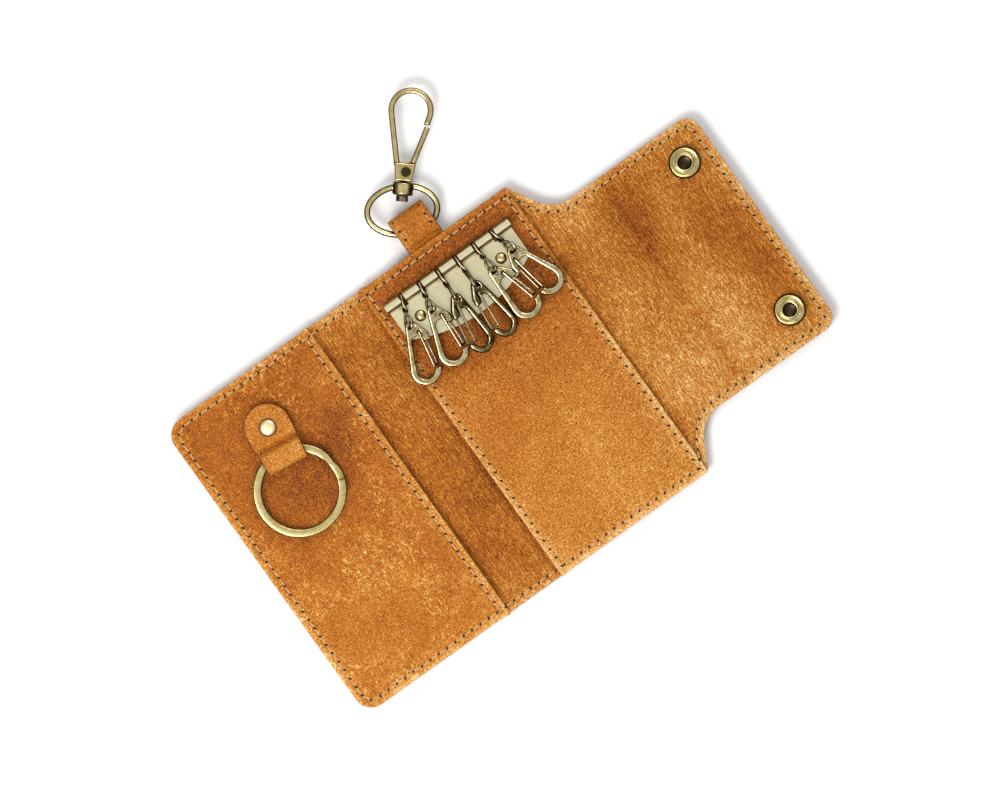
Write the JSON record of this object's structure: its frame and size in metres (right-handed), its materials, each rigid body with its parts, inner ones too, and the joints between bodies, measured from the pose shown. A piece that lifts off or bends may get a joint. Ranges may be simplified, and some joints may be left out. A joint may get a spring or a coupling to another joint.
{
  "type": "key organiser",
  "caption": "Tri-fold leather key case, lying open: snap flap, card pockets, hook rail with spring-gate key hooks, split ring on a tab and a swivel snap clip on a strap.",
  "frame": {"origin": "middle of the centre panel's outer face, midway between the top and bottom edges of the case", "axes": "+X runs along the open case towards the snap flap, +Y towards the hook rail and the swivel clip, +Z out of the inside face"},
  "size_m": [0.1965, 0.1568, 0.0133],
  "materials": {
    "cover_leather": "waxed pull-up cowhide",
    "lining_leather": "waxed pull-up cowhide",
    "pocket_leather": "waxed pull-up cowhide",
    "strap_leather": "waxed pull-up cowhide",
    "antique_brass": "antiqued brass, dark in the recesses",
    "pale_brass": "brushed pale brass plate",
    "dark_bronze": "dark bronze plate",
    "spring_steel": "bronzed spring wire"
  },
  "bodies": {
    "centre_panel": {"cover_centre_panel": "cover_leather", "lining_centre_panel": "lining_leather", "centre_pocket": "pocket_leather", "clip_strap": "strap_leather", "hook_rail": "pale_brass", "rail_rod": "spring_steel", "rail_rivets": "pale_brass"},
    "left_spine": {"cover_left_spine": "cover_leather", "lining_left_spine": "lining_leather"},
    "left_panel": {"cover_left_panel": "cover_leather", "lining_left_panel": "lining_leather", "card_pocket": "pocket_leather", "key_ring_tab_end": "strap_leather", "tab_rivet_cap": "antique_brass", "tab_rivet_post": "antique_brass", "snap_studs": "antique_brass", "snap_stud_posts": "antique_brass"},
    "ring_tab": {"key_ring_tab": "strap_leather"},
    "key_ring": {"split_key_ring": "antique_brass"},
    "right_spine": {"cover_right_spine": "cover_leather", "lining_right_spine": "lining_leather"},
    "flap": {"cover_flap": "cover_leather", "lining_flap": "lining_leather", "snap_sockets": "antique_brass", "snap_socket_springs": "spring_steel", "snap_caps": "antique_brass"},
    "clip_ring": {"clip_ring": "antique_brass"},
    "clip_hook": {"clip_hook": "antique_brass", "clip_swivel_pin": "antique_brass", "clip_gate_pin": "antique_brass", "clip_gate_spring": "spring_steel"},
    "clip_gate": {"clip_gate": "antique_brass"},
    "link_1": {"hook_link_1": "dark_bronze"},
    "hook_1": {"key_hook_1": "antique_brass"},
    "gate_1": {"hook_gate_1": "spring_steel"},
    "link_2": {"hook_link_2": "dark_bronze"},
    "hook_2": {"key_hook_2": "antique_brass"},
    "gate_2": {"hook_gate_2": "spring_steel"},
    "link_3": {"hook_link_3": "dark_bronze"},
    "hook_3": {"key_hook_3": "antique_brass"},
    "gate_3": {"hook_gate_3": "spring_steel"},
    "link_4": {"hook_link_4": "dark_bronze"},
    "hook_4": {"key_hook_4": "antique_brass"},
    "gate_4": {"hook_gate_4": "spring_steel"},
    "link_5": {"hook_link_5": "dark_bronze"},
    "hook_5": {"key_hook_5": "antique_brass"},
    "gate_5": {"hook_gate_5": "spring_steel"},
    "link_6": {"hook_link_6": "dark_bronze"},
    "hook_6": {"key_hook_6": "antique_brass"},
    "gate_6": {"hook_gate_6": "spring_steel"}
  },
  "joints": [
    {"name": "left_spine_fold", "type": "hinge", "parent": "centre_panel", "child": "left_spine", "pos_m": [-0.0291, 0, 0.0022], "axis": [0, 1, 0], "range_deg": [0, 60]},
    {"name": "left_panel_fold", "type": "hinge", "parent": "left_spine", "child": "left_panel", "pos_m": [-0.0479, 0, 0.0022], "axis": [0, 1, 0], "range_deg": [0, 120]},
    {"name": "right_spine_fold", "type": "hinge", "parent": "centre_panel", "child": "right_spine", "pos_m": [0.03, 0, 0.0022], "axis": [0, -1, 0], "range_deg": [0, 90]},
    {"name": "flap_fold", "type": "hinge", "parent": "right_spine", "child": "flap", "pos_m": [0.0551, 0, 0.0022], "axis": [0, -1, 0], "range_deg": [0, 90]},
    {"name": "tab_lift", "type": "hinge", "parent": "left_panel", "child": "ring_tab", "pos_m": [-0.0787, 0.03144, 0.0067], "axis": [0.9933, -0.116, 0], "range_deg": [-60, 0]},
    {"name": "key_ring_turn", "type": "hinge", "parent": "ring_tab", "child": "key_ring", "pos_m": [-0.0814, 0.01501, 0.00627], "axis": [0, -0.0349, 0.9994], "continuous": true},
    {"name": "link_1_swing", "type": "hinge", "parent": "centre_panel", "child": "link_1", "pos_m": [-0.01897, 0.04615, 0.0054], "axis": [1, 0, 0], "range_deg": [-95, 0]},
    {"name": "hook_1_nod", "type": "hinge", "parent": "link_1", "child": "hook_1", "pos_m": [-0.0219, 0.03832, 0.00701], "axis": [1, 0, 0], "range_deg": [-70, 0]},
    {"name": "gate_1_open", "type": "hinge", "parent": "hook_1", "child": "gate_1", "pos_m": [-0.02078, 0.03434, 0.00676], "axis": [-0.0199, -0.0669, 0.9976], "range_deg": [-22, 0], "stiffness_Nm_per_rad": 0.0005},
    {"name": "link_2_swing", "type": "hinge", "parent": "centre_panel", "child": "link_2", "pos_m": [-0.01182, 0.04615, 0.0054], "axis": [1, 0, 0], "range_deg": [-95, 0]},
    {"name": "hook_2_nod", "type": "hinge", "parent": "link_2", "child": "hook_2", "pos_m": [-0.0131, 0.03852, 0.00701], "axis": [1, 0, 0], "range_deg": [-70, 0]},
    {"name": "gate_2_open", "type": "hinge", "parent": "hook_2", "child": "gate_2", "pos_m": [-0.01169, 0.0347, 0.00676], "axis": [-0.0114, -0.0688, 0.9976], "range_deg": [-22, 0], "stiffness_Nm_per_rad": 0.0005},
    {"name": "link_3_swing", "type": "hinge", "parent": "centre_panel", "child": "link_3", "pos_m": [-0.00467, 0.04615, 0.0054], "axis": [1, 0, 0], "range_deg": [-95, 0]},
    {"name": "hook_3_nod", "type": "hinge", "parent": "link_3", "child": "hook_3", "pos_m": [-0.0049, 0.03722, 0.00758], "axis": [1, 0, 0], "range_deg": [-70, 0]},
    {"name": "gate_3_open", "type": "hinge", "parent": "hook_3", "child": "gate_3", "pos_m": [-0.00651, 0.03376, 0.00845], "axis": [0.5431, -0.0404, 0.8387], "range_deg": [0, 22], "stiffness_Nm_per_rad": 0.0005},
    {"name": "link_4_swing", "type": "hinge", "parent": "centre_panel", "child": "link_4", "pos_m": [0.00248, 0.04615, 0.0054], "axis": [1, 0, 0], "range_deg": [-95, 0]},
    {"name": "hook_4_nod", "type": "hinge", "parent": "link_4", "child": "hook_4", "pos_m": [0.00285, 0.03703, 0.00748], "axis": [1, 0, 0], "range_deg": [-70, 0]},
    {"name": "gate_4_open", "type": "hinge", "parent": "hook_4", "child": "gate_4", "pos_m": [0.00142, 0.03342, 0.00845], "axis": [0.5446, 0.0097, 0.8387], "range_deg": [0, 22], "stiffness_Nm_per_rad": 0.0005},
    {"name": "link_5_swing", "type": "hinge", "parent": "centre_panel", "child": "link_5", "pos_m": [0.00963, 0.04615, 0.0054], "axis": [1, 0, 0], "range_deg": [-95, 0]},
    {"name": "hook_5_nod", "type": "hinge", "parent": "link_5", "child": "hook_5", "pos_m": [0.0102, 0.03732, 0.00701], "axis": [1, 0, 0], "range_deg": [-70, 0]},
    {"name": "gate_5_open", "type": "hinge", "parent": "hook_5", "child": "gate_5", "pos_m": [0.01225, 0.03407, 0.00676], "axis": [0.0116, -0.0688, 0.9976], "range_deg": [-22, 0], "stiffness_Nm_per_rad": 0.0005},
    {"name": "link_6_swing", "type": "hinge", "parent": "centre_panel", "child": "link_6", "pos_m": [0.01678, 0.04615, 0.0054], "axis": [1, 0, 0], "range_deg": [-95, 0]},
    {"name": "hook_6_nod", "type": "hinge", "parent": "link_6", "child": "hook_6", "pos_m": [0.0189, 0.03922, 0.00701], "axis": [1, 0, 0], "range_deg": [-70, 0]},
    {"name": "gate_6_open", "type": "hinge", "parent": "hook_6", "child": "gate_6", "pos_m": [0.01776, 0.03524, 0.00676], "axis": [0.0194, -0.067, 0.9976], "range_deg": [0, 22], "stiffness_Nm_per_rad": 0.0005},
    {"name": "clip_ring_swing", "type": "hinge", "parent": "centre_panel", "child": "clip_ring", "pos_m": [-0.00215, 0.0618, 0.0026], "axis": [0.9781, -0.2079, 0], "range_deg": [-50, 50]},
    {"name": "clip_swivel", "type": "hinge", "parent": "clip_ring", "child": "clip_hook", "pos_m": [0.0017, 0.0746, 0.0026], "axis": [0.6494, 0.7604, 0], "continuous": true},
    {"name": "clip_gate_open", "type": "hinge", "parent": "clip_hook", "child": "clip_gate", "pos_m": [0.00559, 0.07838, 0.0026], "axis": [0, 0, 1], "range_deg": [0, 22], "stiffness_Nm_per_rad": 0.005}
  ],
  "couplings": [
    {"joint": "left_panel_fold", "follows": "left_spine_fold", "ratio": 2},
    {"joint": "flap_fold", "follows": "right_spine_fold", "ratio": 1}
  ]
}
